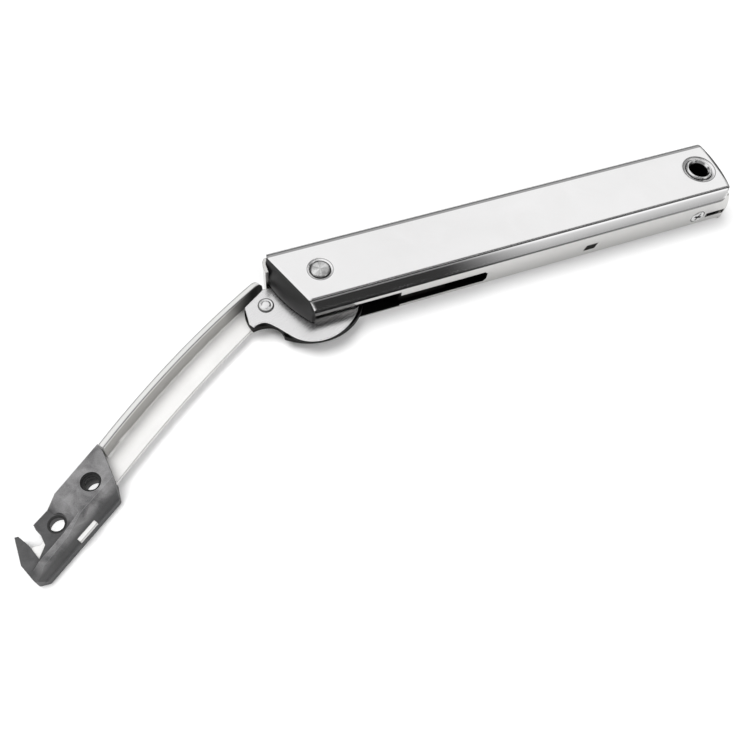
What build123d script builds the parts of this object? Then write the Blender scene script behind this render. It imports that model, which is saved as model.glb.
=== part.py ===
from build123d import *
from math import cos, sin, radians, hypot
import os

os.makedirs("parts", exist_ok=True)

# Lid stay. Units mm. The origin is on the axis of the eyelet that receives
# the mounting pin, on the underside. X runs along the case to the eyelet end,
# Z up; the lever swings about Z at the other end of the case.

# --- case: a shallow polished cover over a folded base channel ---
CASE_W = 23.8          # over the cover
CASE_H = 15.0          # underside to polished face
SHEET = 1.0            # cover and base sheet
FLAT_W = 19.0          # top face out to where the sides lean down
SIDE_BOW = 0.1         # crown of the leaning sides
ROLL_R = 1.6           # roll between top face and sides
SKIRT_Z = CASE_H - 3.4  # lower edge of the cover's sides
PIVOT_X = -129.0       # lever pivot from the eyelet
END_X = -139.0         # middle of the slanted end
END_SLANT = 21.0       # degrees from square
END_CORNER_R = 3.0
NOSE_X = 6.5           # eyelet end at the top face
NOSE_LEAN = 0.22       # the end leans outwards going down
NOSE_R = 45.0          # roundness of the end in plan
NOSE_CORNER_R = 3.5
BASE_W = CASE_W - 2.6               # base channel sits inside the cover
BASE_FOLD_R = 0.9
ROOM = BASE_W / 2 - SHEET           # half of the clear width inside
WALL_TOP = SKIRT_Z - 0.1            # top of the base channel's sides
WRAP_X, WRAP_R = -140.0, 4.0        # base wall turned round the slanted end
WRAP_END_Y = 4.4
WRAP_H = CASE_H - SHEET - 0.3
END_MARGIN = 30.0      # blocks are made this much longer than the case, then cut

# --- openings of the base channel's sides ---
MOUTH_TOP = 8.1        # where the lever swings out
MOUTH_X = -107.2
FAR_MOUTH_X = -139.6   # start of the opening in the other wall
SLOT_LOW, SLOT_HIGH, SLOT_X = 1.7, 6.3, -78.5
PEG_X, PEG_Z, PEG_L, PEG_H = -42.0, 4.0, 5.0, 2.6
NOSE_SLOT_LOW, NOSE_SLOT_HIGH, NOSE_SLOT_X = 2.6, 4.6, 1.6

# --- fasteners of the case ---
RIVET_R = 2.2
RIVET_HEAD_R = 2.75
DISH_R = 5.3           # dished ring round the eyelet
DISH = 0.5
PIVOT_DISH_R = 3.6
BORE_R = 2.95          # eyelet bore for the mounting pin
BUSH_R = 3.7
BUSH_LIP_R = 4.1
SCREW_R, SCREW_HEAD_R, SCREW_X, SCREW_Z = 1.8, 2.4, -1.8, 4.2

# --- lever, arm and cam, stacked on the pivot ---
ARM_ANGLE = 216.0      # direction of the arm at rest
GAP = 0.3              # between faces that move past each other
RUN = 0.05             # running fit on the pivot
FLOOR_Z = 2.2          # underside of the arm sheet
ARM_SHEET = 1.5
CAM_T = 2.0
LEVER_T = 1.5
ARM_TOP = 9.4
ARM_ROOT = 10.1        # wall starts here, from the pivot
WALL_T = 1.6
FOLD_R = 0.7
EYE_R = 8.0
STOP_TURN = -50.3      # edge of the arm sheet that meets the case's open stop
CAM_Z = FLOOR_Z + ARM_SHEET
LEVER_Z = CAM_Z + CAM_T
STACK_Z = LEVER_Z + LEVER_T

# --- cam follower, slider and spring ---
SWING = 134.0          # full fold of the arm
CAM_START = 14.7       # pivot to roller centre at rest
CAM_RISE = 3.4         # slider travel per radian of swing
ROLLER_R, ROLLER_BORE = 3.0, 1.05
PIN_R = 1.0
SLIDER_X, SLIDER_L = -107.2, 15.2
SPRING_X0, SPRING_X1 = SLIDER_X + SLIDER_L, PEG_X - PEG_L / 2 - 1.0
SPRING_R, WIRE, COILS = 4.7, 1.6, 7
SPRING_Z = CASE_H / 2

# --- hook ---
HOOK_RIM, HOOK_LOW, HOOK_RAIL, HOOK_TOP = 2.4, 4.4, 6.2, 8.0
HOOK_HOLE_R, HOOK_CBORE_R, HOOK_CBORE = 1.8, 2.65, 1.1
WEB = 0.7              # plastic left round the screws' shanks
HOLE_BELOW_R = 2.6
HOLES = [(83.6, -11.9), (96.1, -12.5)]
HOOK_SIDE = -5.0       # near side of the hook

PIVOT = Location((PIVOT_X, 0, 0))
ARM = Location((PIVOT_X, 0, 0), (0, 0, ARM_ANGLE))   # local x along the arm


def box(x0, x1, y0, y1, z0, z1):
    return Pos((x0 + x1) / 2, (y0 + y1) / 2, (z0 + z1) / 2) * Box(x1 - x0, y1 - y0, z1 - z0)


def disc(r, z0, z1, x=0.0, y=0.0):
    return Pos(x, y, (z0 + z1) / 2) * Cylinder(r, z1 - z0)


def slab(face, z0, z1):
    return Pos(0, 0, z0) * extrude(face, z1 - z0)


def outline(*pieces):
    return make_face(Wire(list(pieces)))


def polar(r, a):
    return (r * cos(radians(a)), r * sin(radians(a)))


def along_end(p, q):
    """p runs along the slanted end, q points out of it."""
    a = radians(END_SLANT)
    return (END_X - p * sin(a) - q * cos(a), p * cos(a) - q * sin(a))


def end_x(y):
    return END_X - y * sin(radians(END_SLANT)) / cos(radians(END_SLANT))


def plan(width, z0, z1, reach, corner):
    """Block over the case's plan: slanted end with its far corner rounded, bowed eyelet end."""
    w = width / 2
    back = reach - NOSE_R + (NOSE_R ** 2 - w ** 2) ** 0.5
    bow = ThreePointArc((back, -w), (reach, 0), (back, w))
    sides = Polyline((back, w), (end_x(w), w), (end_x(-w), -w), (back, -w))
    face = outline(bow, *sides.edges())
    corners = face.vertices().sort_by(Axis.X)
    face = fillet(corners[0], END_CORNER_R)
    return slab(fillet([v for v in face.vertices() if v.X > 0], corner), z0, z1)


def nose(points):
    """Body of revolution behind a side profile (x, z) of the eyelet end."""
    axis = Axis((NOSE_X - NOSE_R, 0, 0), (0, 0, 1))
    prof = Plane.XZ * make_face(Polyline(*points, close=True))
    return revolve(prof, axis, 360)


def nose_edge(z, extra=0.0):
    return NOSE_X + NOSE_LEAN * (CASE_H - z) + extra


def long_block(inset):
    """Solid run of the cover's section: flat top, rolled edges, sides that lean down."""
    w, f, top = CASE_W / 2, FLAT_W / 2, CASE_H
    mid = ((w + f) / 2 + SIDE_BOW, (SKIRT_Z + top) / 2 + SIDE_BOW)
    left = ThreePointArc((-w, SKIRT_Z), (-mid[0], mid[1]), (-f, top))
    right = ThreePointArc((f, top), mid, (w, SKIRT_Z))
    low = Polyline((w, SKIRT_Z), (w, -1), (-w, -1), (-w, SKIRT_Z))
    face = outline(left, Line((-f, top), (f, top)), right, *low.edges())
    corners = [v for v in face.vertices() if v.Y > top - 0.01]
    face = fillet(corners, ROLL_R)
    if inset:
        face = offset(face, -inset)
    start = END_X - END_MARGIN
    return Pos(start, 0, 0) * extrude(Plane.YZ * face, NOSE_X + END_MARGIN - start)


def side_cut(points, y0, y1):
    """Opening through a side wall, from its (x, z) outline."""
    return Pos(0, y1, 0) * extrude(Plane.XZ * make_face(Polyline(*points, close=True)), y1 - y0)


def peg_outline(clear=0.0):
    a, b, lean = PEG_L / 2 - clear, PEG_H / 2 - clear, 0.8
    return [(PEG_X - a, PEG_Z - b), (PEG_X + a - lean, PEG_Z - b), (PEG_X + a, PEG_Z + b),
            (PEG_X - a + lean, PEG_Z + b)]


def case_cover():
    body = long_block(0) - long_block(SHEET)
    body &= plan(CASE_W, SKIRT_Z, CASE_H + 1, NOSE_X + 0.3, NOSE_CORNER_R)
    # dished rings round the eyelet and the pivot
    for x, r_in, r_out in ((0, BUSH_LIP_R, DISH_R), (PIVOT_X, RIVET_HEAD_R, PIVOT_DISH_R)):
        ring = Polyline((0, CASE_H - DISH), (r_in, CASE_H - DISH), (r_out, CASE_H + 0.01),
                        (0, CASE_H + 0.01), close=True)
        body -= Pos(x, 0, 0) * revolve(Plane.XZ * make_face(ring), Axis.Z)
    body -= disc(BUSH_R, CASE_H - 3, CASE_H + 1)
    body -= disc(RIVET_R, CASE_H - 3, CASE_H + 1, PIVOT_X)
    return body


def nose_front():
    """Everything beyond the end line of the sheet at the eyelet end."""
    solid = nose([(NOSE_X - NOSE_R, -2), (nose_edge(-2), -2),
                  (nose_edge(CASE_H + 2), CASE_H + 2), (NOSE_X - NOSE_R, CASE_H + 2)])
    return box(-NOSE_R / 2, 40, -CASE_W, CASE_W, -1.5, CASE_H + 1.5) - solid


def nose_shell(thick):
    """Bulging end wall of the base, as a revolved band."""
    z = (0.0, 0.53 * CASE_H, WRAP_H)
    x = (nose_edge(z[0], 0.9), nose_edge(z[1], 1.25), nose_edge(z[2], -0.1))
    outer = ThreePointArc(*zip(x, z))
    inner = ThreePointArc(*zip([a - thick for a in x[::-1]], z[::-1]))
    prof = outline(outer, Line(outer @ 1, inner @ 0), inner, Line(inner @ 1, outer @ 0))
    return revolve(Plane.XZ * prof, Axis((NOSE_X - NOSE_R, 0, 0), (0, 0, 1)), 360)


def case_base():
    half = BASE_W / 2
    x0, x1 = END_X - END_MARGIN, NOSE_X + END_MARGIN
    block = box(x0, x1, -half, half, 0, WALL_TOP)
    block = fillet(block.edges().filter_by(Axis.X).group_by(Axis.Z)[0], BASE_FOLD_R)
    body = block - box(x0 - 1, x1 + 1, -ROOM, ROOM, SHEET, CASE_H)
    body -= nose_front()
    body += nose_shell(1.35) & box(0, x1, -half, half, 0, WRAP_H)
    body &= plan(BASE_W, -1, CASE_H, nose_edge(0, 1.4), NOSE_CORNER_R / 2)
    # openings: the lever's mouth, the slider's slot, peg, screw and end slot
    low, high = SLOT_LOW, SLOT_HIGH
    cuts = [[(x0, SHEET), (MOUTH_X, SHEET), (MOUTH_X, MOUTH_TOP), (x0, MOUTH_TOP)],
            [(MOUTH_X - 1, low), (SLOT_X - 1, low), (SLOT_X, low + 1), (SLOT_X, high - 1),
             (SLOT_X - 1, high), (MOUTH_X - 1, high)],
            peg_outline(),
            [(NOSE_SLOT_X, NOSE_SLOT_LOW), (nose_edge(3, -0.5), NOSE_SLOT_LOW),
             (nose_edge(3, -0.5), NOSE_SLOT_HIGH), (NOSE_SLOT_X, NOSE_SLOT_HIGH)]]
    for points in cuts:
        body -= side_cut(points, -half - 1, -ROOM)
    body -= Pos(SCREW_X, -half, SCREW_Z) * Rot(90, 0, 0) * Cylinder(SCREW_HEAD_R + 0.1, 3)
    body -= box(FAR_MOUTH_X, MOUTH_X, ROOM, half + 1, SLOT_LOW, MOUTH_TOP)
    body -= box(x0, FAR_MOUTH_X, ROOM, half + 1, SHEET, CASE_H)
    body += end_wrap()
    body -= disc(BUSH_R, -1, 3)
    body -= disc(RIVET_R, -1, 3, PIVOT_X)
    return body & long_block(SHEET)


def wrap_core(inset, z0, z1):
    """The space inside the turned end wall."""
    r, cy = WRAP_R - inset, BASE_W / 2 - WRAP_R
    return disc(r, z0, z1, WRAP_X, cy) + box(WRAP_X - r, WRAP_X, -40, cy, z0, z1)


def end_wrap():
    """Base wall turned round the far corner of the slanted end: the open stop."""
    ring = wrap_core(0, 0, WRAP_H) - wrap_core(SHEET, -1, CASE_H)
    ring &= box(WRAP_X - 10, WRAP_X, WRAP_END_Y, 20, 0, CASE_H)
    foot = wrap_core(0, 0, SHEET) & box(WRAP_X - 10, WRAP_X, WRAP_END_Y, 20, 0, SHEET)
    return ring + foot + box(WRAP_X, FAR_MOUTH_X, ROOM, BASE_W / 2, 0, WRAP_H)


def end_cap():
    """Dark moulded cap that bulges from the slanted end, with a plug inside."""
    near, far = -CASE_W / 2 / cos(radians(END_SLANT)), 11.6

    def section(z, bulge, edge):
        a, b = along_end(near, 0.0), along_end(far, 0.0)
        c, m, d = along_end(far, edge), along_end(-0.5, bulge), along_end(near + 0.4, edge)
        f = outline(Line(a, b), Line(b, c), ThreePointArc(c, m, d), Line(d, a))
        return Pos(0, 0, z) * f
    low, high = STACK_Z + 0.4, CASE_H - 0.1
    skin = loft([section(low, 2.8, 0.9), section(low + 0.55 * (high - low), 2.4, 0.75),
                 section(high, 0.4, 0.2)])
    plug = [along_end(p, q) for p, q in ((-8.2, 0.2), (8.2, 0.2), (8.2, -3.0), (-8.2, -3.0))]
    body = skin + slab(make_face(Polyline(*plug, close=True)), MOUTH_TOP + 0.4,
                       CASE_H - SHEET - 1.0)
    edge = box(END_X - END_MARGIN, WRAP_X, WRAP_END_Y - 0.05, CASE_W, 0, CASE_H + 1)
    body -= edge - wrap_core(SHEET + 0.05, 0, CASE_H + 1)
    return body & long_block(0)


def turned(points):
    """Body of revolution about Z from its (radius, z) outline."""
    return revolve(Plane.XZ * make_face(Polyline(*points, close=True)), Axis.Z)


def pivot_rivet():
    top, r, q = CASE_H - DISH, RIVET_HEAD_R, RIVET_R
    return PIVOT * turned([(0, 0), (q, 0), (q, top), (r, top), (r, top + 0.45), (r - 0.3, top + 0.7),
                           (r * 0.5, top + 0.85), (0, top + 0.9)])


def pivot_washer():
    return PIVOT * (disc(5.5, SHEET, FLOOR_Z - GAP) - disc(RIVET_R, 0, 4))


def pivot_spacer():
    return PIVOT * (disc(4.6, STACK_Z + GAP, CASE_H - SHEET) - disc(RIVET_R, 0, CASE_H))


def eyelet_bush():
    top = CASE_H - DISH
    return turned([(BORE_R, 0.0), (BUSH_R, 0.0), (BUSH_R, top), (BUSH_LIP_R, top),
                   (BUSH_LIP_R, top + 0.5), (BUSH_LIP_R - 0.3, top + 0.8),
                   (BORE_R + 0.6, top + 0.8), (BORE_R, top - 0.2)])


def lock_block():
    body = box(-6.5, 5.0, -ROOM + 0.1, ROOM - 0.1, SHEET, 8.0)
    body -= disc(BUSH_R, 0, 10)
    body -= Pos(SCREW_X, -6, SCREW_Z) * Rot(90, 0, 0) * Cylinder(SCREW_R, 12)
    return body - box(SCREW_X - SCREW_HEAD_R - 0.2, SCREW_X + SCREW_HEAD_R + 0.2,
                      -ROOM - 1, -ROOM + 1.3, 0, 8.5)


def lock_screw():
    y = -BASE_W / 2 - 0.2
    head = Pos(0, y + 1.2, 0) * Rot(90, 0, 0) * Cylinder(SCREW_HEAD_R, 2.4)
    head = chamfer(head.edges().sort_by(Axis.Y)[0], 0.4)
    shank = Pos(0, (y - BUSH_R - 0.4) / 2 + 0.5, 0) * Rot(90, 0, 0) * Cylinder(
        SCREW_R, abs(y + BUSH_R + 0.4) - 1.0)
    cross = [Pos(0, y, 0) * Rot(0, a, 0) * Box(3.2, 2.4, 0.8) for a in (20, 110)]
    return Pos(SCREW_X, 0, SCREW_Z) * (head + shank - cross)


def spring_seat():
    body = box(PEG_X - PEG_L / 2 - 1.0, PEG_X + PEG_L / 2 + 1.0, -ROOM + 0.1, ROOM - 0.1,
               SHEET, WALL_TOP)
    body += side_cut(peg_outline(0.05), -BASE_W / 2 + 0.2, -ROOM + 0.5)
    return body + Pos(SPRING_X1 - 3, 0, SPRING_Z) * Rot(0, 90, 0) * Cylinder(3.0, 8)


def spring():
    """Die spring of square wire, its turns laid in short straight lengths."""
    length, per_turn = SPRING_X1 - SPRING_X0 - WIRE, 10
    steps = COILS * per_turn
    points = [(SPRING_R * cos(radians(360 * i / per_turn)), SPRING_R * sin(radians(360 * i / per_turn)),
               length * i / steps) for i in range(steps + 1)]
    path = Polyline(*points)
    wire = Plane(path @ 0, x_dir=(1, 0, 0), z_dir=path % 0) * Rectangle(WIRE, WIRE)
    coil = sweep(wire, path=path, transition=Transition.RIGHT)
    return Pos(SPRING_X0 + WIRE / 2, 0, SPRING_Z) * Rot(0, 90, 0) * coil


def slider():
    x0, x1 = SLIDER_X, SLIDER_X + SLIDER_L
    w = ROOM - GAP
    body = box(x0, x1, -w, w, SHEET + GAP, WALL_TOP)
    tip = PIVOT_X + CAM_START
    body += box(tip, x0 + 1, -3.0, 3.0, SHEET + GAP, CAM_Z - 0.3)
    body += disc(3.0, SHEET + GAP, CAM_Z - 0.3, tip)
    body += Pos(x1 + 3, 0, SPRING_Z) * Rot(0, 90, 0) * Cylinder(3.0, 8)
    return body - disc(PIN_R, 0, CAM_Z, tip)


def roller_pin():
    x = PIVOT_X + CAM_START
    return disc(PIN_R, SHEET + GAP, LEVER_Z - 0.2, x)


def roller():
    x = PIVOT_X + CAM_START
    return disc(ROLLER_R, CAM_Z + 0.1, LEVER_Z - 0.2, x) - disc(ROLLER_BORE, 0, 9, x)


def cam_edge(turn, clear):
    """Edge that lets the roller centre move out in step with the swing."""
    t = radians(turn)
    r = CAM_START + CAM_RISE * t
    n = hypot(r, CAM_RISE)
    back = ROLLER_R + clear
    x, y = r - back * r / n, -back * CAM_RISE / n
    a = -t
    return (x * cos(a) - y * sin(a), x * sin(a) + y * cos(a))


def cam_plate():
    turns = [-12 + i * (SWING + 16) / 6 for i in range(7)]
    rise = Spline(*[cam_edge(a, GAP) for a in turns])
    tip = [(-17.6, -7.9), (-20.0, -7.4), (-22.7, -7.6)]
    nose_ = Spline(rise @ 1, *tip)
    end = ThreePointArc(tip[-1], (-23.6, -4.0), (-23.3, -0.9))
    inner = [(-16.2, 3.5), polar(EYE_R + 2, 165)]
    over = ThreePointArc(inner[-1], polar(EYE_R - 0.3, 100), polar(EYE_R + 0.8, 45))
    face = outline(rise, nose_, end, Polyline(end @ 1, *inner).edges()[0],
                   Line(inner[0], inner[1]), over, Line(over @ 1, rise @ 0))
    return PIVOT * (slab(face, CAM_Z, LEVER_Z) - bores())


def bores():
    return disc(RIVET_R + RUN, 0, CASE_H) + disc(1.5, 0, CASE_H, -17.1, -2.1)


def lever_plate():
    lobe = Spline((-18.5, -7.6), (-15.1, -11.4), (-11.0, -16.1), (-5.9, -18.0), (-0.7, -17.5),
                  (3.9, -15.2), (7.9, -11.2), (10.2, -6.0), (10.8, 0.5))
    waist = ThreePointArc((-22.5, -8.0), (-20.6, -7.2), (-18.5, -7.6))
    inner = polar(EYE_R + 2.2, 165)
    over = ThreePointArc(lobe @ 1, polar(EYE_R, 95), inner)
    face = outline(lobe, over, Line(inner, (-16.3, 3.5)), Line((-16.3, 3.5), (-23.1, -0.9)),
                   Line((-23.1, -0.9), (-23.4, -6.6)), Line((-23.4, -6.6), (-22.5, -8.0)), waist)
    return PIVOT * (slab(face, LEVER_Z, STACK_Z) - bores())


def lever_rivet():
    r, z = 1.5, STACK_Z
    head = turned([(0, 1.5), (2.0, 1.5), (2.0, FLOOR_Z), (r, FLOOR_Z), (r, z), (2.3, z),
                   (2.3, z + 0.3), (1.9, z + 0.4), (1.5, z + 0.3), (1.1, z + 0.55),
                   (0, z + 0.62)])
    return PIVOT * (Pos(-17.1, -2.1, 0) * head)


def arm():
    """Bowed sheet arm: floor, one folded wall, an eye on the pivot and a hook tongue."""
    t = WALL_T
    outer = ThreePointArc((ARM_ROOT, -15.0), (42.5, -17.5), (75.4, -16.5))
    inner = ThreePointArc((75.4, -16.5 + t), (42.5, -17.5 + t), (ARM_ROOT, -15.0 + t))
    wall = slab(outline(outer, Line(outer @ 1, inner @ 0), inner, Line(inner @ 1, outer @ 0)),
                FLOOR_Z, ARM_TOP)
    # rounded root end of the wall
    r, z = 3.2, ARM_TOP - 3.2
    root = box(ARM_ROOT - 1, ARM_ROOT + r, -20, -10, z, CASE_H)
    wall -= root - Pos(ARM_ROOT + r, -15, z) * Rot(90, 0, 0) * Cylinder(r, 20)
    near = ThreePointArc((79.0, -8.3), (48.0, -9.1), (20.0, -8.0))
    a, b = polar(EYE_R, -100), polar(EYE_R + 1.5, STOP_TURN)
    stop = polar(17.5, STOP_TURN)
    eye = ThreePointArc(polar(EYE_R, 75), polar(EYE_R, 165), a)
    sheet = outline(outer, Line(outer @ 1, (79.0, -16.0)), Line((79.0, -16.0), (79.0, -8.3)), near,
                    Line(near @ 1, polar(EYE_R, 75)), eye, Line(a, b), Line(b, stop),
                    Line(stop, outer @ 0))
    tab = HOOK_SIDE - 0.05
    tongue = [(78.0, -15.6), (98.5, -15.6), (100.2, -12.9), (102.2, -12.5), (103.4, -13.6),
              (105.4, -13.6), (105.4, -7.0), (96.1, -7.0), (96.1, tab), (90.1, tab), (90.1, -7.0),
              (78.0, -8.4)]
    body = slab(sheet, FLOOR_Z, CAM_Z) + slab(make_face(Polyline(*tongue, close=True)),
                                              FLOOR_Z, CAM_Z) + wall
    line = body.edges().filter_by(lambda e: abs(e.center().Z - CAM_Z) < 0.01
                                  and e.length > 40 and e.center().Y < -14.5)
    body = fillet(line, FOLD_R)
    for x, y in HOLES:
        body -= disc(HOLE_BELOW_R, 0, 9, x, y)
    return ARM * body - PIVOT * bores()


def profile_cut(points, s0, s1):
    """Solid between s0 and s1 along the arm, from its (y, z) outline."""
    return Pos(s0, 0, 0) * extrude(Plane.YZ * make_face(Polyline(*points, close=True)), s1 - s0)


def hook(steel):
    """Moulded hook over the arm's end, with an open mouth for the cross pin."""
    side, tip = HOOK_SIDE, 109.7
    pts = [(74.9, -17.5), (91.2, -16.9), (99.5, -17.1), (100.1, -15.7), (99.9, -14.8),
           (101.6, -11.2), (105.0, -9.9), (103.9, -14.5), (103.7, -18.0), (104.4, -18.6),
           (108.6, -12.3), (tip, -6.8), (107.6, side), (82.2, side), (79.3, -8.6), (75.6, -15.2)]
    full = make_face(Polyline(*pts, close=True))
    full = fillet([v for v in full.vertices() if v.X > 106 or (80 < v.X < 84)], 0.8)
    # side views along the arm: the high part ramps down to the jaw, the rail runs on to the tip
    high = [(70, 0), (70, HOOK_TOP), (91.0, HOOK_TOP), (94.8, HOOK_LOW), (tip + 1, HOOK_LOW),
            (tip + 1, 0)]
    rail = [(90, 0), (90, HOOK_TOP), (91.0, HOOK_TOP), (97.0, HOOK_RAIL), (105.6, HOOK_RAIL - 0.4),
            (tip + 1, HOOK_RIM + 0.6), (tip + 1, 0)]
    body = side_cut(high, -20, 0) + side_cut(rail, -8.9, 0)
    body &= slab(full, 0, HOOK_TOP)
    # the near side stands up from a low rim, then leans in to the top
    lean = [(side, HOOK_RIM), (side - 0.4, HOOK_RIM), (-8.4, HOOK_TOP), (-8.4, 12), (0, 12),
            (0, HOOK_RIM)]
    body -= profile_cut(lean, 70, tip + 2)
    for (x, y), top in zip(HOLES, (HOOK_TOP, HOOK_LOW)):
        seat = top - HOOK_CBORE if top == HOOK_TOP else top
        body -= disc(HOOK_HOLE_R, -1, 12, x, y) + disc(HOOK_CBORE_R, seat, 12, x, y)
        body -= disc(HOLE_BELOW_R, -1, seat - WEB, x, y)
    return ARM * body - steel


def build():
    parts = {"case_cover": case_cover()}
    parts["case_base"] = case_base()
    parts["end_cap"] = end_cap()
    parts["pivot_rivet"] = pivot_rivet()
    parts["pivot_washer"] = pivot_washer()
    parts["pivot_spacer"] = pivot_spacer()
    parts["eyelet_bush"] = eyelet_bush()
    parts["lock_block"] = lock_block()
    parts["lock_screw"] = lock_screw()
    parts["spring_seat"] = spring_seat()
    parts["spring"] = spring()
    parts["slider"] = slider()
    parts["roller_pin"] = roller_pin()
    parts["roller"] = roller()
    parts["arm"] = arm()
    parts["cam_plate"] = cam_plate()
    parts["lever_plate"] = lever_plate()
    parts["lever_rivet"] = lever_rivet()
    parts["hook"] = hook(parts["arm"])
    return parts


for name, shape in build().items():
    n = len(shape.solids())
    print(name, n, round(shape.volume, 1))
    export_step(shape, f"parts/{name}.step")
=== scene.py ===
from math import radians

import bpy
import numpy as np
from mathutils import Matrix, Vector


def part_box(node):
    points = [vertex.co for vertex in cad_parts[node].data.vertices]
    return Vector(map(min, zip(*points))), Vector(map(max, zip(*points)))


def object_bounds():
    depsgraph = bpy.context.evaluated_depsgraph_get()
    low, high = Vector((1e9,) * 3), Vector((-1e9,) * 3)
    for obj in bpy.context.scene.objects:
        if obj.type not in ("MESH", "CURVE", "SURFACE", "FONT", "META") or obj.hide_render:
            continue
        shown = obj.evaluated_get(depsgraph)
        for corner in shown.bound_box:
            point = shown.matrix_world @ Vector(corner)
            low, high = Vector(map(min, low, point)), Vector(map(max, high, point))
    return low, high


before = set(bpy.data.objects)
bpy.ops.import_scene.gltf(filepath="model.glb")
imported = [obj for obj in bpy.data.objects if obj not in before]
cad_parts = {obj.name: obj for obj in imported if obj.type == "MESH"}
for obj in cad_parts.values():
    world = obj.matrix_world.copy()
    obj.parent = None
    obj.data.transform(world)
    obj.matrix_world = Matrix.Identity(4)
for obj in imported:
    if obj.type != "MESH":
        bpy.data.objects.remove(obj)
cadLow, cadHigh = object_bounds()
print("frame loaded:", len(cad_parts), "nodes")

scene = bpy.context.scene
scene.view_settings.view_transform = "Standard"


def node(tree, kind, **settings):
    made = tree.nodes.new(kind)
    for name, value in settings.items():
        setattr(made, name, value)
    return made


def putIn(socket, value):
    # a value is another node's socket or a plain constant
    if isinstance(value, bpy.types.NodeSocket):
        socket.id_data.links.new(value, socket)
    else:
        socket.default_value = value


def fill(made, **values):
    # socket names are written without their spaces
    for socket in made.inputs:
        name = socket.name.replace(" ", "")
        if name in values:
            putIn(socket, values.pop(name))
    if values:
        raise ValueError(f"{made.name} has no {sorted(values)}")
    return made


def work(tree, operation, first, second=None, **settings):
    # one sum on numbers
    made = node(tree, "ShaderNodeMath", operation=operation, **settings)
    putIn(made.inputs[0], first)
    if second is not None:
        putIn(made.inputs[1], second)
    return made.outputs["Value"]


def workVector(tree, operation, first, second=None):
    # one sum on vectors; a length or a dot product comes out as a number
    made = node(tree, "ShaderNodeVectorMath", operation=operation)
    putIn(made.inputs[0], first)
    if second is not None:
        putIn(made.inputs[1], second)
    return made.outputs["Value" if operation in ("LENGTH", "DOT_PRODUCT") else "Vector"]


def mapped(tree, value, fromMin=0.0, fromMax=1.0, toMin=0.0, toMax=1.0, **settings):
    made = node(tree, "ShaderNodeMapRange", **settings)
    fill(made, Value=value, FromMin=fromMin, FromMax=fromMax, ToMin=toMin, ToMax=toMax)
    return made.outputs["Result"]


def mixed(tree, mask, low, high, kind="RGBA"):
    # low where the mask is 0, high where it is 1
    made = node(tree, "ShaderNodeMix", data_type=kind)
    for name, value in (("Factor", mask), ("A", low), ("B", high)):
        putIn(made.inputs[name], (*value, 1) if isinstance(value, tuple) else value)
    return made.outputs["Result"]


number, vector = "NodeSocketFloat", "NodeSocketVector"
grainHeight = 0.0001   # metres that a bump of full strength stands up


def newGroup(name, inputs, outputs):
    # inputs are (label, kind, start value or None), outputs are (label, kind)
    group = bpy.data.node_groups.new(name, "ShaderNodeTree")
    for label, kind, value in inputs:
        socket = group.interface.new_socket(name=label, in_out="INPUT", socket_type=kind)
        if value is not None:
            socket.default_value = value
    for label, kind in outputs:
        group.interface.new_socket(name=label, in_out="OUTPUT", socket_type=kind)
    return group, group.nodes.new("NodeGroupInput").outputs, group.nodes.new("NodeGroupOutput").inputs


def makeRolledGrain():
    # noise drawn out along X into fine lines: roughness runs with it from Roughness - Spread
    # to Roughness + Spread, and it tilts the normal by Depth
    group, given, result = newGroup(
        "rolledGrain",
        [("Vector", vector, None), ("Normal", vector, None), ("Lines", number, 9000.0),
         ("Drawn Out", number, 0.02), ("Roughness", number, 0.3), ("Spread", number, 0.1),
         ("Depth", number, 0.1)],
        [("Roughness", number), ("Normal", vector)])
    stretch = fill(node(group, "ShaderNodeCombineXYZ"), X=given["Drawn Out"], Y=1.0, Z=1.0)
    along = workVector(group, "MULTIPLY", given["Vector"], stretch.outputs["Vector"])
    lines = fill(node(group, "ShaderNodeTexNoise"), Vector=along, Scale=given["Lines"], Detail=3.0,
                 Roughness=0.6).outputs["Fac"]
    smoothest = work(group, "SUBTRACT", given["Roughness"], given["Spread"])
    roughest = work(group, "ADD", given["Roughness"], given["Spread"])
    bump = fill(node(group, "ShaderNodeBump"), Strength=given["Depth"], Distance=grainHeight, Height=lines,
                Normal=given["Normal"])
    putIn(result["Roughness"], mapped(group, lines, 0.3, 0.7, smoothest, roughest))
    putIn(result["Normal"], bump.outputs["Normal"])
    return group


def makeMottle():
    # mask = cloudy patches and fine specks blended by Speck Share, its middle third stretched to 0..1
    group, given, result = newGroup(
        "mottle",
        [("Vector", vector, None), ("Patches", number, 120.0), ("Specks", number, 2500.0),
         ("Speck Share", number, 0.3)],
        [("Mask", number), ("Specks", number)])
    patches = fill(node(group, "ShaderNodeTexNoise"), Vector=given["Vector"], Scale=given["Patches"],
                   Detail=4.0, Roughness=0.55, Distortion=0.6).outputs["Fac"]
    specks = fill(node(group, "ShaderNodeTexNoise"), Vector=given["Vector"], Scale=given["Specks"],
                  Detail=2.0, Roughness=0.7).outputs["Fac"]
    both = mixed(group, given["Speck Share"], patches, specks, kind="FLOAT")
    putIn(result["Mask"], mapped(group, both, 0.34, 0.66))
    putIn(result["Specks"], specks)
    return group


def makeEdgeRounding():
    # rounds the shading of sharp edges; mask = Sharpness * (1 - cosine of the turn this gave the normal),
    # which places painted edge highlights and painted shade lines
    group, given, result = newGroup(
        "edgeWear",
        [("Radius", number, 0.0003), ("Sharpness", number, 6.0)],
        [("Mask", number), ("Normal", vector)])
    rounded = fill(node(group, "ShaderNodeBevel", samples=8), Radius=given["Radius"]).outputs["Normal"]
    own = node(group, "ShaderNodeNewGeometry").outputs["Normal"]
    turned = work(group, "SUBTRACT", 1.0, workVector(group, "DOT_PRODUCT", rounded, own))
    putIn(result["Mask"], work(group, "MULTIPLY", turned, given["Sharpness"], use_clamp=True))
    putIn(result["Normal"], rounded)
    return group


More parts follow.
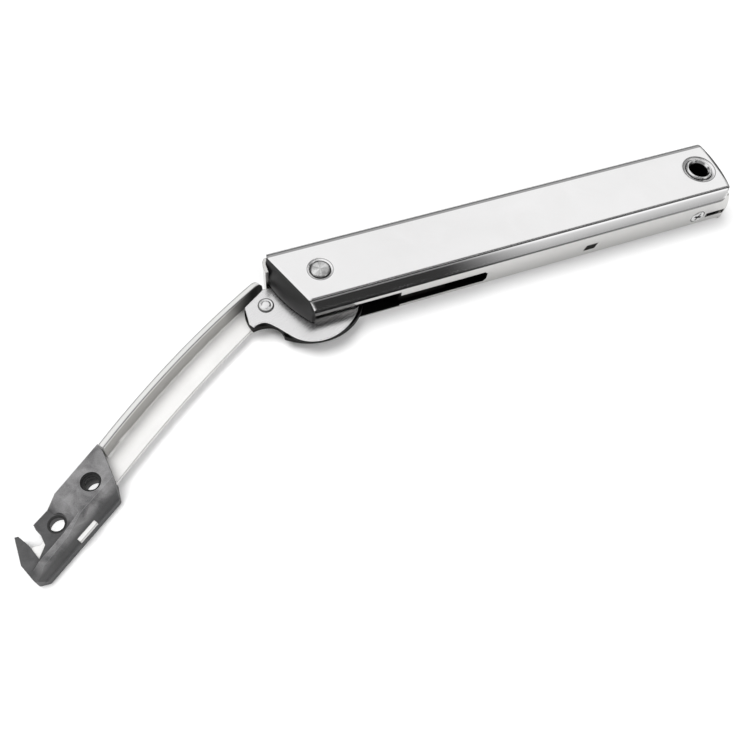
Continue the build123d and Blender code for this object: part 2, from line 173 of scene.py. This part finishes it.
def levelOffset(group, given):
    # from the centre to the shaded point, with the height left out
    away = workVector(group, "SUBTRACT", given["Vector"], given["Centre"])
    return workVector(group, "MULTIPLY", away, (1, 1, 0))


def makeRoundZone():
    # 1 inside Radius round an upright axis, fading to 0 over Blur outside it
    group, given, result = newGroup(
        "roundZone",
        [("Vector", vector, None), ("Centre", vector, None), ("Radius", number, 0.003),
         ("Blur", number, 0.0002)],
        [("Mask", number)])
    distance = workVector(group, "LENGTH", levelOffset(group, given))
    outer = work(group, "ADD", given["Radius"], given["Blur"])
    putIn(result["Mask"], mapped(group, distance, given["Radius"], outer, 1.0, 0.0))
    return group


def makeBoxZone():
    # 1 inside the box from Low to High, fading to 0 over Blur outside it: the distance outside is
    # the most of Low - Vector and Vector - High over the three directions
    group, given, result = newGroup(
        "boxZone",
        [("Vector", vector, None), ("Low", vector, None), ("High", vector, None), ("Blur", number, 0.0002)],
        [("Mask", number)])
    under = workVector(group, "SUBTRACT", given["Low"], given["Vector"])
    over = workVector(group, "SUBTRACT", given["Vector"], given["High"])
    most = workVector(group, "MAXIMUM", under, over)
    parts = fill(node(group, "ShaderNodeSeparateXYZ"), Vector=most).outputs
    outside = work(group, "MAXIMUM", work(group, "MAXIMUM", parts["X"], parts["Y"]), parts["Z"])
    putIn(result["Mask"], mapped(group, outside, 0.0, given["Blur"], 1.0, 0.0))
    return group


def makeStanding():
    # 1 on upright faces, 0 on level ones, from the height of the normal
    group, given, result = newGroup("standing", [("Full To", number, 0.35), ("None From", number, 0.75)],
                                    [("Mask", number)])
    facing = node(group, "ShaderNodeNewGeometry").outputs["Normal"]
    height = work(group, "ABSOLUTE", fill(node(group, "ShaderNodeSeparateXYZ"), Vector=facing).outputs["Z"])
    putIn(result["Mask"], mapped(group, height, given["Full To"], given["None From"], 1.0, 0.0))
    return group


def makeTurnedFace():
    # streaks that fan out from a centre: noise of the direction alone, stretched to 0..1
    group, given, result = newGroup(
        "turnedFace",
        [("Vector", vector, None), ("Centre", vector, None), ("Streaks", number, 1.6)],
        [("Mask", number)])
    spoke = workVector(group, "NORMALIZE", levelOffset(group, given))
    streaks = fill(node(group, "ShaderNodeTexNoise"), Vector=spoke, Scale=given["Streaks"], Detail=3.0,
                   Roughness=0.6).outputs["Fac"]
    putIn(result["Mask"], mapped(group, streaks, 0.36, 0.64))
    return group


rolledGrain, mottle, edgeWear = makeRolledGrain(), makeMottle(), makeEdgeRounding()
roundZone, boxZone, standing, turnedFace = makeRoundZone(), makeBoxZone(), makeStanding(), makeTurnedFace()
print("shared effects ready")


def useGroup(tree, group, **values):
    return fill(node(tree, "ShaderNodeGroup", node_tree=group), **values)


def roundMask(tree, place, centre, radius, blur=0.0001):
    return useGroup(tree, roundZone, Vector=place, Centre=centre, Radius=radius, Blur=blur).outputs["Mask"]


def boxMask(tree, place, low, high, blur=0.0002):
    return useGroup(tree, boxZone, Vector=place, Low=low, High=high, Blur=blur).outputs["Mask"]


def ringMask(tree, place, centre, inner, outer):
    return work(tree, "SUBTRACT", roundMask(tree, place, centre, outer),
                roundMask(tree, place, centre, inner), use_clamp=True)


def standingMask(tree):
    return useGroup(tree, standing).outputs["Mask"]


def together(tree, first, second):
    # where both masks are 1
    return work(tree, "MULTIPLY", first, second)


def middleOf(name):
    low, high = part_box(name)
    return tuple((low + high) / 2)


def startFinish(name):
    made = bpy.data.materials.new(name)
    made.use_nodes = True
    tree = made.node_tree
    return made, tree, tree.nodes["Principled BSDF"], node(tree, "ShaderNodeTexCoord").outputs["Object"]


def overlay(made, mask, colour=None, roughness=None, share=1.0):
    # lays a colour and a roughness over the finish where the mask is 1
    tree = made.node_tree
    if share < 1.0:
        mask = work(tree, "MULTIPLY", mask, share)
    for name, kind, value in (("Base Color", "RGBA", colour), ("Roughness", "FLOAT", roughness)):
        if value is not None:
            socket = tree.nodes["Principled BSDF"].inputs[name]
            putIn(socket, mixed(tree, mask, socket.links[0].from_socket, value, kind))


def metalFinish(values):
    # rolled sheet: drawn-out grain in the roughness and normal, cloudy tone, rounded edges
    made, tree, shader, place = startFinish(values["name"])
    turned = fill(node(tree, "ShaderNodeMapping"), Vector=place, Rotation=(0, 0, radians(values["turn"])))
    along = turned.outputs["Vector"]
    clouds = useGroup(tree, mottle, Vector=along, Patches=values["patches"], SpeckShare=values["speckShare"])
    radius = values["edge"]
    if "edgeFrom" in values:   # edges below this height stay sharp
        upper = boxMask(tree, place, (-1, -1, values["edgeFrom"]), (1, 1, 1))
        radius = work(tree, "MULTIPLY", upper, values["edge"])
    edges = useGroup(tree, edgeWear, Radius=radius)
    grain = useGroup(tree, rolledGrain, Vector=along, Normal=edges.outputs["Normal"], Lines=values["lines"],
                     DrawnOut=values["drawnOut"], Roughness=values["roughness"], Spread=values["spread"],
                     Depth=values["depth"])
    fill(shader, BaseColor=mixed(tree, clouds.outputs["Mask"], values["dull"], values["bright"]),
         Metallic=1.0, Roughness=grain.outputs["Roughness"], Normal=grain.outputs["Normal"])
    return made, tree, place


def plasticFinish(values):
    # moulded plastic: cloudy tone, fine speckled skin and a painted highlight along the edges
    made, tree, shader, place = startFinish(values["name"])
    skin = useGroup(tree, mottle, Vector=place, Patches=values["patches"], Specks=values["specks"],
                    SpeckShare=values["speckShare"])
    edges = useGroup(tree, edgeWear, Radius=values["edge"], Sharpness=values["sharpness"])
    tone = mixed(tree, skin.outputs["Mask"], values["dark"], values["pale"])
    bump = fill(node(tree, "ShaderNodeBump"), Strength=values["depth"], Distance=grainHeight,
                Height=skin.outputs["Specks"], Normal=edges.outputs["Normal"])
    # painted highlight: the edges are painted paler than the skin
    fill(shader, BaseColor=mixed(tree, edges.outputs["Mask"], tone, values["rubbed"]),
         Roughness=mapped(tree, skin.outputs["Mask"], toMin=values["roughness"] - values["smoother"],
                          toMax=values["roughness"] + values["rougher"]),
         Normal=bump.outputs["Normal"])
    return made, tree, place


metalStart = {"turn": 0.0, "drawnOut": 0.02, "edge": 0.0003, "patches": 60.0, "speckShare": 0.15,
              "lines": 9000.0, "spread": 0.05, "depth": 0.05}
plasticStart = {"sharpness": 3.0, "smoother": 0.06, "rougher": 0.08}
inside = {"colour": (0.012, 0.012, 0.012), "roughness": 0.6}   # painted shade in the works, and in holes and bores
finish = {}

# painted shade rings round the two pressed dishes are (piece, inner, outer, shade); the painted reflection
# lines along the rolls are (start, end, shade), near side first, measured out from +-flatHalf
coverValues = {**metalStart, "name": "cover steel", "dull": (0.885, 0.88, 0.88),
               "bright": (0.92, 0.915, 0.918), "roughness": 0.07, "spread": 0.02, "lines": 7000.0,
               "depth": 0.01, "edge": 0.0013, "edgeFrom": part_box("case_cover")[1].z - 0.0024,
               "dishRoughness": 0.2, "dishBlur": 0.0005,
               "rings": [("eyelet_bush", 0.00405, 0.00440, 0.10), ("eyelet_bush", 0.00515, 0.00540, 0.30),
                         ("pivot_rivet", 0.00272, 0.00310, 0.07), ("pivot_rivet", 0.00360, 0.00382, 0.35)],
               "flatHalf": 0.0095, "bendDepth": 0.0013, "bendBlur": 0.0001,
               "bends": [(-0.00006, 0.00012, 0.05), (-0.0012, 0.0011, 0.38)], "lipHeight": 0.00035,
               "lipBlur": 0.0003, "lipColour": (0.22, 0.22, 0.22), "noseDepth": 0.0007,
               "noseColour": (0.20, 0.20, 0.20)}


def coverFinish(values):
    made, tree, place = metalFinish(values)
    for name, inner, outer, shade in values["rings"]:
        dish = roundMask(tree, place, middleOf(name), outer, values["dishBlur"])
        overlay(made, dish, roughness=values["dishRoughness"])
        # painted shade: a dark ring round each dish, where its recess falls in shade
        overlay(made, ringMask(tree, place, middleOf(name), inner, outer), colour=(shade, shade, shade))
    low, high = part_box("case_cover")
    # painted reflection: a dark line along each rolled bend
    for side, (start, end, shade) in zip((-1, 1), values["bends"]):
        nearer, further = sorted((side * values["flatHalf"] + start, side * values["flatHalf"] + end))
        bend = boxMask(tree, place, (low.x, nearer, high.z - values["bendDepth"]), (high.x, further, high.z),
                       values["bendBlur"])
        overlay(made, bend, colour=(shade, shade, shade))
    # painted shade in the crease along the cover's lower lip
    lip = boxMask(tree, place, low, (high.x, high.y, low.z + values["lipHeight"]), values["lipBlur"])
    overlay(made, lip, colour=values["lipColour"])
    # painted shade on the cover's nose end
    nose = boxMask(tree, place, (high.x - values["noseDepth"], low.y, low.z), high)
    overlay(made, nose, colour=values["noseColour"])
    return made


finish["case_cover"] = coverFinish(coverValues)

baseValues = {**metalStart, "name": "base steel", "dull": (0.66, 0.655, 0.645),
              "bright": (0.74, 0.735, 0.72), "roughness": 0.2, "depth": 0.04,
              "sideColour": (0.60, 0.595, 0.585), "seam": 0.0006, "seamColour": (0.10, 0.10, 0.10),
              "rim": 0.00015, "floorFrom": 0.0004, "worksTo": 0.0028, "worksBlur": 0.0001}


def baseFinish(values):
    # painted shade: the upright sides are painted darker, a painted shadow line runs under the cover's lip
    # on the near side, and the inside is painted dark
    made, tree, place = metalFinish(values)
    low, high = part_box("case_base")
    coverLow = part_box("case_cover")[0]
    # painted shade: the upright sides are painted darker than the level faces
    overlay(made, standingMask(tree), colour=values["sideColour"])
    # painted shadow line under the cover's lip on the near side
    seam = boxMask(tree, place, (low.x, low.y, coverLow.z - values["seam"]),
                   (values["worksTo"], 0.0, coverLow.z + values["seam"]))
    overlay(made, seam, colour=values["seamColour"])
    # painted shade inside the case, where the works lie
    works = boxMask(tree, place, (coverLow.x, low.y + values["rim"], low.z + values["floorFrom"]),
                    (values["worksTo"], high.y - values["rim"], high.z), values["worksBlur"])
    overlay(made, works, colour=inside["colour"], roughness=inside["roughness"])
    return made


finish["case_base"] = baseFinish(baseValues)

# the hook's two screw holes: middle, radius and top of their painted shade
hookHoles = [((-0.203628, -0.039512, 0), 0.00262, 0.00775), ((-0.214094, -0.046373, 0), 0.00235, 0.0060)]

armValues = {**metalStart, "name": "arm steel", "dull": (0.70, 0.695, 0.685),
             "bright": (0.77, 0.765, 0.755), "roughness": 0.34, "spread": 0.04, "lines": 8000.0,
             "depth": 0.03, "turn": -36.0, "edge": 0.0005, "plated": 0.12,
             "wallColour": (0.38, 0.37, 0.355), "wallFrom": 0.0014, "wallBlur": 0.0006,
             "rimDepth": 0.0009, "rimColour": (0.17, 0.17, 0.17), "topColour": (0.64, 0.635, 0.625),
             "rootMiddle": (-0.1455, 0.0047, 0.0), "rootRadius": 0.004, "rootFades": 0.011,
             "rootColour": (0.02, 0.02, 0.02), "holeRadius": 0.0028, "holeBlur": 0.0002}


def armFinish(values):
    # matt zinc; the raised wall is painted darker than the web that lies flat, a painted shade
    made, tree, place = metalFinish(values)
    tree.nodes["Principled BSDF"].inputs["Metallic"].default_value = values["plated"]
    low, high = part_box("arm")
    raised = boxMask(tree, place, (low.x, low.y, low.z + values["wallFrom"]), high, values["wallBlur"])
    wall = together(tree, standingMask(tree), raised)
    overlay(made, wall, colour=values["wallColour"])
    # the wall's top band is painted one even tone, lighter than the painted shade on its sides, and painted
    # shade lines run where its top edge is rounded
    edges = useGroup(tree, edgeWear, Radius=values["rimDepth"]).outputs["Mask"]
    top = boxMask(tree, place, (low.x, low.y, high.z - values["rimDepth"]), high)
    overlay(made, top, colour=values["topColour"])
    overlay(made, together(tree, edges, top), colour=values["rimColour"])
    # painted reflection: the wall darkens towards its end at the lever plate, where it mirrors the dark case
    root = roundMask(tree, place, values["rootMiddle"], values["rootRadius"], values["rootFades"])
    overlay(made, together(tree, root, wall), colour=values["rootColour"])
    # painted shade on the arm under the hook's two screw holes
    for middle, _, _ in hookHoles:
        overlay(made, roundMask(tree, place, middle, values["holeRadius"], values["holeBlur"]),
                colour=inside["colour"], roughness=inside["roughness"])
    return made


finish["arm"] = armFinish(armValues)

leverValues = {**metalStart, "name": "lever steel", "dull": (0.80, 0.795, 0.80),
               "bright": (0.86, 0.855, 0.86), "roughness": 0.26, "spread": 0.03, "lines": 12000.0,
               "depth": 0.02, "turn": -20.0, "edge": 0.00025, "shearedFrom": 0.0004,
               "shearedBlur": 0.0001, "shearedColour": (0.012, 0.012, 0.012), "shearedRoughness": 0.6,
               "rivetRing": (0.0020, 0.00232), "ringColour": (0.14, 0.14, 0.14)}


def leverFinish(values):
    # stamped plate: the edge is bright where the punch rounded it; below that its side is painted dark, a
    # painted shade under the plate
    made, tree, place = metalFinish(values)
    low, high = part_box("lever_plate")
    shadedEdge = boxMask(tree, place, low, (high.x, high.y, high.z - values["shearedFrom"]),
                     values["shearedBlur"])
    overlay(made, together(tree, standingMask(tree), shadedEdge), colour=values["shearedColour"],
            roughness=values["shearedRoughness"])
    # painted shade ring round the lever rivet
    overlay(made, ringMask(tree, place, middleOf("lever_rivet"), *values["rivetRing"]),
            colour=values["ringColour"])
    return made


finish["lever_plate"] = leverFinish(leverValues)

worksValues = {**metalStart, "name": "blackened steel", "dull": (0.006, 0.006, 0.006),
               "bright": (0.014, 0.013, 0.012), "roughness": 0.6, "spread": 0.06, "depth": 0.08}
finish["cam_plate"] = metalFinish(worksValues)[0]
for name in ("slider", "lock_block", "spring_seat"):
    finish[name] = finish["cam_plate"]

springValues = {**metalStart, "name": "spring wire", "dull": (0.10, 0.095, 0.09),
                "bright": (0.16, 0.155, 0.15), "roughness": 0.35, "spread": 0.06, "lines": 6000.0,
                "drawnOut": 0.6}
finish["spring"] = metalFinish(springValues)[0]

rollerValues = {**metalStart, "name": "roller steel", "dull": (0.60, 0.60, 0.60),
                "bright": (0.70, 0.70, 0.70), "roughness": 0.25, "lines": 8000.0, "drawnOut": 0.8}
finish["roller"] = metalFinish(rollerValues)[0]
for name in ("pivot_washer", "pivot_spacer", "roller_pin"):
    finish[name] = finish["roller"]


def roundFinish(values, name):
    # streaks fan out from the middle of a turned or pressed head: turning marks, with a painted reflection
    # in their light and dark sectors
    made, tree, place = metalFinish(values)
    fan = useGroup(tree, turnedFace, Vector=place, Centre=middleOf(name), Streaks=values["streaks"])
    overlay(made, fan.outputs["Mask"], colour=values["streakColour"])
    return made, tree, place


pivotValues = {**metalStart, "name": "pivot rivet steel", "dull": (0.82, 0.82, 0.82),
               "bright": (0.88, 0.88, 0.88), "roughness": 0.28, "drawnOut": 0.5, "streaks": 0.75,
               "streakColour": (0.40, 0.40, 0.395)}
finish["pivot_rivet"] = roundFinish(pivotValues, "pivot_rivet")[0]

leverRivetValues = {**metalStart, "name": "lever rivet steel", "dull": (0.90, 0.90, 0.90),
                    "bright": (0.98, 0.98, 0.98), "roughness": 0.3, "drawnOut": 0.5, "streaks": 0.5,
                    "streakColour": (0.90, 0.90, 0.90), "rim": (0.0019, 0.0024),
                    "rimColour": (0.2, 0.2, 0.2)}


def leverRivetFinish(values):
    # a domed head with a painted shade ring at its rim
    made, tree, place = roundFinish(values, "lever_rivet")
    overlay(made, ringMask(tree, place, middleOf("lever_rivet"), *values["rim"]), colour=values["rimColour"])
    return made


finish["lever_rivet"] = leverRivetFinish(leverRivetValues)

screwValues = {**metalStart, "name": "lock screw steel", "dull": (0.80, 0.80, 0.79),
               "bright": (0.88, 0.88, 0.87), "roughness": 0.28, "drawnOut": 0.5, "streaks": 0.8,
               "streakColour": (0.75, 0.75, 0.75), "faceDepth": 0.0003, "behindBlur": 0.0001}


def screwFinish(values):
    # painted shade: the driver's recess and the rim of the screw are painted dark behind its front face
    made, tree, place = roundFinish(values, "lock_screw")
    low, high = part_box("lock_screw")
    behind = boxMask(tree, place, (low.x, low.y + values["faceDepth"], low.z), high, values["behindBlur"])
    overlay(made, behind, colour=inside["colour"])
    return made


finish["lock_screw"] = screwFinish(screwValues)

bushValues = {**metalStart, "name": "eyelet bush steel", "dull": (0.84, 0.84, 0.84),
              "bright": (0.90, 0.90, 0.90), "roughness": 0.22, "drawnOut": 0.5, "boreRadius": 0.00305,
              "lipHeight": 0.0005, "lipBlur": 0.0003}


def bushFinish(values):
    # bright lip round a bore painted dark, a painted shade
    made, tree, place = metalFinish(values)
    low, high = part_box("eyelet_bush")
    bore = roundMask(tree, place, middleOf("eyelet_bush"), values["boreRadius"])
    deep = boxMask(tree, place, low, (high.x, high.y, high.z - values["lipHeight"]), values["lipBlur"])
    overlay(made, together(tree, bore, deep), colour=inside["colour"], roughness=inside["roughness"])
    return made


finish["eyelet_bush"] = bushFinish(bushValues)

capValues = {**plasticStart, "name": "end cap plastic", "dark": (0.006, 0.006, 0.006),
             "pale": (0.010, 0.010, 0.010), "rubbed": (0.05, 0.05, 0.05), "roughness": 0.46,
             "patches": 90.0, "specks": 4000.0, "speckShare": 0.3, "depth": 0.12, "edge": 0.0005}
finish["end_cap"] = plasticFinish(capValues)[0]

hookValues = {**plasticStart, "name": "hook plastic", "dark": (0.066, 0.065, 0.067),
              "pale": (0.265, 0.262, 0.265), "rubbed": (0.34, 0.34, 0.34), "roughness": 0.5,
              "patches": 210.0, "specks": 3500.0, "speckShare": 0.25, "depth": 0.2, "edge": 0.0004,
              "lowColour": (0.029, 0.029, 0.030), "lowShare": 0.82, "lowTo": 0.0042, "lowBlur": 0.0022,
              "holeBlur": 0.0002, "holesFrom": -0.001}


def hookFinish(values):
    # painted shade: the pocket and the jaw lie lower and are painted darker
    made, tree, place = plasticFinish(values)
    low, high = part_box("hook")
    pocket = boxMask(tree, place, low, (high.x, high.y, low.z + values["lowTo"]), values["lowBlur"])
    overlay(made, pocket, colour=values["lowColour"], share=values["lowShare"])
    # painted shade in the hook's two screw holes
    for middle, radius, top in hookHoles:
        deep = boxMask(tree, place, (low.x, low.y, low.z + values["holesFrom"]), (high.x, high.y, top),
                       values["holeBlur"])
        overlay(made, together(tree, roundMask(tree, place, middle, radius), deep), colour=inside["colour"])
    return made


finish["hook"] = hookFinish(hookValues)

for name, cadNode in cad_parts.items():
    for materialSlot in cadNode.material_slots:
        materialSlot.material = finish[name]
print("finishes given to", len(finish), "nodes")

floorValues = {"halfSize": 6.0, "rows": 5, "below": 0.0001, "colour": (0.92, 0.92, 0.92), "glow": 0.03,
               "lightSpots": [(-0.20448, -0.03655), (-0.21482, -0.04470)], "spotRadius": 0.0023,
               "spotBlur": 0.0004, "spotGlow": 0.85, "litTo": 0.35, "fadesOver": 0.6}


def floorSheet(values):
    # flat grid: x and y run evenly from -halfSize to +halfSize, z lies just below the lowest point
    run = np.linspace(-values["halfSize"], values["halfSize"], values["rows"])
    x, y = np.meshgrid(run, run, indexing="ij")
    points = np.stack([x, y, np.full_like(x, cadLow.z - values["below"])], axis=-1).reshape(-1, 3)
    n = values["rows"]
    first = (np.arange(n - 1)[:, None] * n + np.arange(n - 1)).ravel()
    faces = np.stack([first, first + n, first + n + 1, first + 1], axis=1)
    mesh = bpy.data.meshes.new("floor")
    mesh.from_pydata(points.tolist(), [], faces.tolist())
    sheet = bpy.data.objects.new("floor", mesh)
    scene.collection.objects.link(sheet)
    return sheet


def floorFinish(values):
    # a pale card that shows white where nothing shades it
    made = bpy.data.materials.new("floor card")
    made.use_nodes = True
    tree = made.node_tree
    tree.nodes.clear()
    place = node(tree, "ShaderNodeTexCoord").outputs["Object"]
    # painted light: the card glows in two spots where light would fall through the hook's two holes
    spots = [roundMask(tree, place, (x, y, 0), values["spotRadius"], values["spotBlur"])
             for x, y in values["lightSpots"]]
    # further out, where the lamps give less light, the card shows white by itself
    near = roundMask(tree, place, (cadLow + cadHigh) / 2, values["litTo"], values["fadesOver"])
    whiter = work(tree, "MAXIMUM", work(tree, "MAXIMUM", *spots), mapped(tree, near, toMin=1.0, toMax=0.0))
    glow = mapped(tree, whiter, toMin=values["glow"], toMax=values["spotGlow"])
    # the glow is seen, and lights nothing
    paths = node(tree, "ShaderNodeLightPath").outputs
    mirrored = work(tree, "MAXIMUM", paths["Is Camera Ray"], paths["Is Glossy Ray"])
    seen = work(tree, "MAXIMUM", mirrored, paths["Is Transmission Ray"])
    card = fill(node(tree, "ShaderNodeBsdfDiffuse"), Color=(*values["colour"], 1))
    shine = fill(node(tree, "ShaderNodeEmission"), Color=(1, 1, 1, 1),
                 Strength=work(tree, "MULTIPLY", seen, glow))
    both = node(tree, "ShaderNodeAddShader")
    putIn(both.inputs[0], card.outputs["BSDF"])
    putIn(both.inputs[1], shine.outputs["Emission"])
    fill(node(tree, "ShaderNodeOutputMaterial"), Surface=both.outputs["Shader"])
    return made


floor = floorSheet(floorValues)
floor.data.materials.append(floorFinish(floorValues))

# light round the object's long axis: turn 0 is overhead, 90 the horizon on the near side (-Y),
# each stop is (turn, brightness); one run of stops for each stretch of the object, and changes
# gives the part of X over which each stretch passes into the next
roomValues = {
    "arm side": [(-180, 0.12), (-62, 0.12), (-54, 0.97), (22, 0.95), (30, 0.20), (60, 0.20), (92, 0.35),
                 (100, 0.5)],
    "lever end": [(-180, 0.38), (-56, 0.38), (-50, 0.93), (-20, 0.93), (-17, 0.06), (6, 0.06), (9, 0.95),
                  (19, 0.95), (22, 0.05), (30, 0.05), (33, 0.42), (42, 0.42), (48, 0.035), (92, 0.035),
                  (100, 0.5)],
    "eyelet end": [(-180, 0.38), (-58, 0.38), (-52, 0.955), (-20, 0.955), (-17, 0.08), (8, 0.08), (12, 1.10),
                   (45, 1.10), (60, 0.85), (90, 0.40), (100, 0.5)],
    "beyond": [(-180, 0.30), (180, 0.30)],
    "changes": [(0.125, 0.160), (0.34, 0.46), (0.68, 0.74)], "evenly": 0.30,
}


def bandRamp(tree, stops, turned):
    made = node(tree, "ShaderNodeValToRGB")
    putIn(made.inputs["Fac"], turned)
    elements = made.color_ramp.elements
    while len(elements) > 1:
        elements.remove(elements[-1])
    for count, (turn, bright) in enumerate(stops):
        share = (turn + 180) / 360
        stop = elements[0] if count == 0 else elements.new(share)
        stop.position = share
        stop.color = (bright, bright, bright, 1)
    return made.outputs["Color"]


def litRoom(values):
    # white to the camera, even to diffuse rays; every other ray sees bands of light along the object
    world = bpy.data.worlds.new("room")
    scene.world = world
    world.use_nodes = True
    tree = world.node_tree
    facing = node(tree, "ShaderNodeTexCoord").outputs["Generated"]
    parts = fill(node(tree, "ShaderNodeSeparateXYZ"), Vector=facing).outputs
    turn = work(tree, "ARCTAN2", work(tree, "MULTIPLY", parts["Y"], -1.0), parts["Z"])
    share = mapped(tree, turn, radians(-180), radians(180))
    light = bandRamp(tree, values["arm side"], share)
    for name, (start, end) in zip(("lever end", "eyelet end", "beyond"), values["changes"]):
        change = mapped(tree, parts["X"], start, end, interpolation_type="SMOOTHSTEP")
        light = mixed(tree, change, light, bandRamp(tree, values[name], share))
    paths = node(tree, "ShaderNodeLightPath").outputs
    soft = mixed(tree, paths["Is Diffuse Ray"], light, (values["evenly"],) * 3)
    fill(tree.nodes["Background"], Color=mixed(tree, paths["Is Camera Ray"], soft, (1, 1, 1)), Strength=1.0)


litRoom(roomValues)

lampValues = {
    "key": {"at": (-0.50, 0.17, 1.1), "size": 0.80, "power": 12.2},
    "fill": {"at": (0.25, -0.8, 1.0), "size": 0.9, "power": 6.2},
}


def hangLamp(name, values):
    lamp = bpy.data.lights.new(name, "AREA")
    lamp.shape, lamp.size, lamp.energy = "DISK", values["size"], values["power"]
    hung = bpy.data.objects.new(name, lamp)
    hung.location = values["at"]
    hung.visible_glossy = False   # the metal mirrors the room's bands alone
    middle = (cadLow + cadHigh) / 2
    hung.rotation_euler = (middle - hung.location).to_track_quat("-Z", "Y").to_euler()
    scene.collection.objects.link(hung)


for name, values in lampValues.items():
    hangLamp(name, values)

cameraValues = {"at": (-0.17754, -0.13023, 0.20752), "turn": (28.572, -4.332, -20.907), "lens": 39.458,
                "sensor": 36.0, "seesFrom": 0.01}


def setCamera(values):
    view = bpy.data.cameras.new("view")
    view.lens, view.sensor_width, view.clip_start = values["lens"], values["sensor"], values["seesFrom"]
    viewer = bpy.data.objects.new("viewer", view)
    viewer.location = values["at"]
    viewer.rotation_euler = [radians(angle) for angle in values["turn"]]
    scene.collection.objects.link(viewer)
    scene.camera = viewer


setCamera(cameraValues)
print("floor, lamps and camera set")
